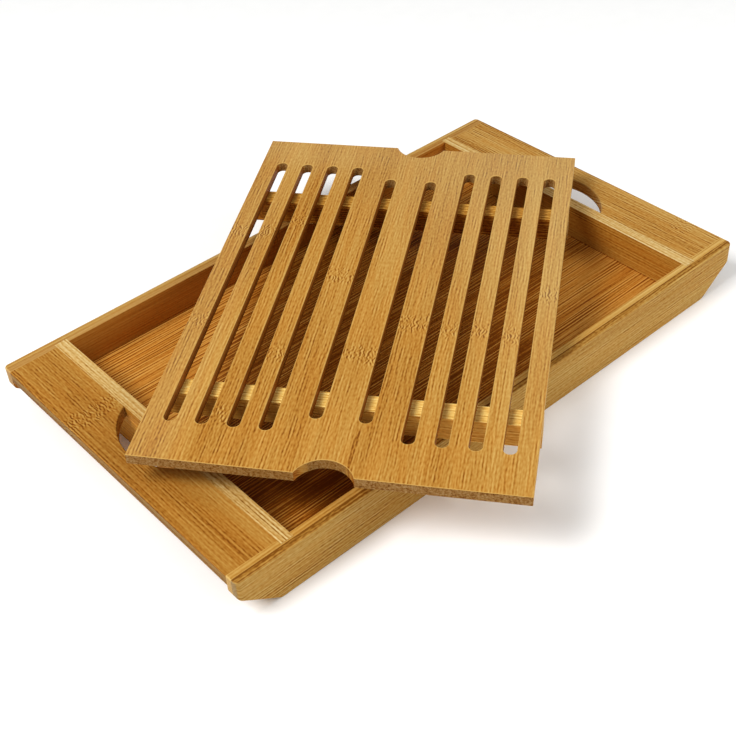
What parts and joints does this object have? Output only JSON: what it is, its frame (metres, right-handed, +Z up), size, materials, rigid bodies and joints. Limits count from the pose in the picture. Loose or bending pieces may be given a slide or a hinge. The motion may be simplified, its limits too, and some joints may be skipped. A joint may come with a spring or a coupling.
{
  "type": "bread board with crumb tray",
  "caption": "Shallow bamboo crumb tray with end grips and a removable slotted cutting board that rests on it",
  "frame": {"origin": "middle of the tray's underside, where it rests on the worktop", "axes": "+X along the tray towards the right handle board, +Y towards the far rail, +Z up"},
  "size_m": [0.488, 0.4382, 0.0658],
  "materials": {
    "rail_bamboo": "satin carbonised bamboo",
    "wall_bamboo": "satin pale bamboo",
    "floor_bamboo": "satin dark carbonised bamboo",
    "handle_bamboo": "satin caramel bamboo",
    "board_bamboo": "satin honey bamboo",
    "batten_bamboo": "satin pale bamboo",
    "dowel_wood": "bare wood",
    "screw_steel": "zinc plated"
  },
  "bodies": {
    "crumb_tray": {"rail_near_inner_ply": "rail_bamboo", "rail_near_outer_ply": "rail_bamboo", "rail_far_inner_ply": "rail_bamboo", "rail_far_outer_ply": "rail_bamboo", "end_wall_left": "wall_bamboo", "end_wall_right": "wall_bamboo", "floor_panel": "floor_bamboo", "handle_board_left": "handle_bamboo", "handle_board_right": "handle_bamboo", "handle_dowels": "dowel_wood"},
    "cutting_board": {"slat_01": "board_bamboo", "slat_02": "board_bamboo", "slat_03": "board_bamboo", "slat_04": "board_bamboo", "slat_05": "board_bamboo", "slat_06": "board_bamboo", "slat_07": "board_bamboo", "slat_08": "board_bamboo", "slat_09": "board_bamboo", "slat_10": "board_bamboo", "slat_11": "board_bamboo", "spacer_blocks": "board_bamboo", "batten_near": "batten_bamboo", "batten_far": "batten_bamboo", "batten_screws": "screw_steel"}
  },
  "joints": [
    {"name": "board_lift", "type": "slide", "parent": "crumb_tray", "child": "cutting_board", "axis": [0, 0, 1], "range_m": [0, 0.08]}
  ]
}
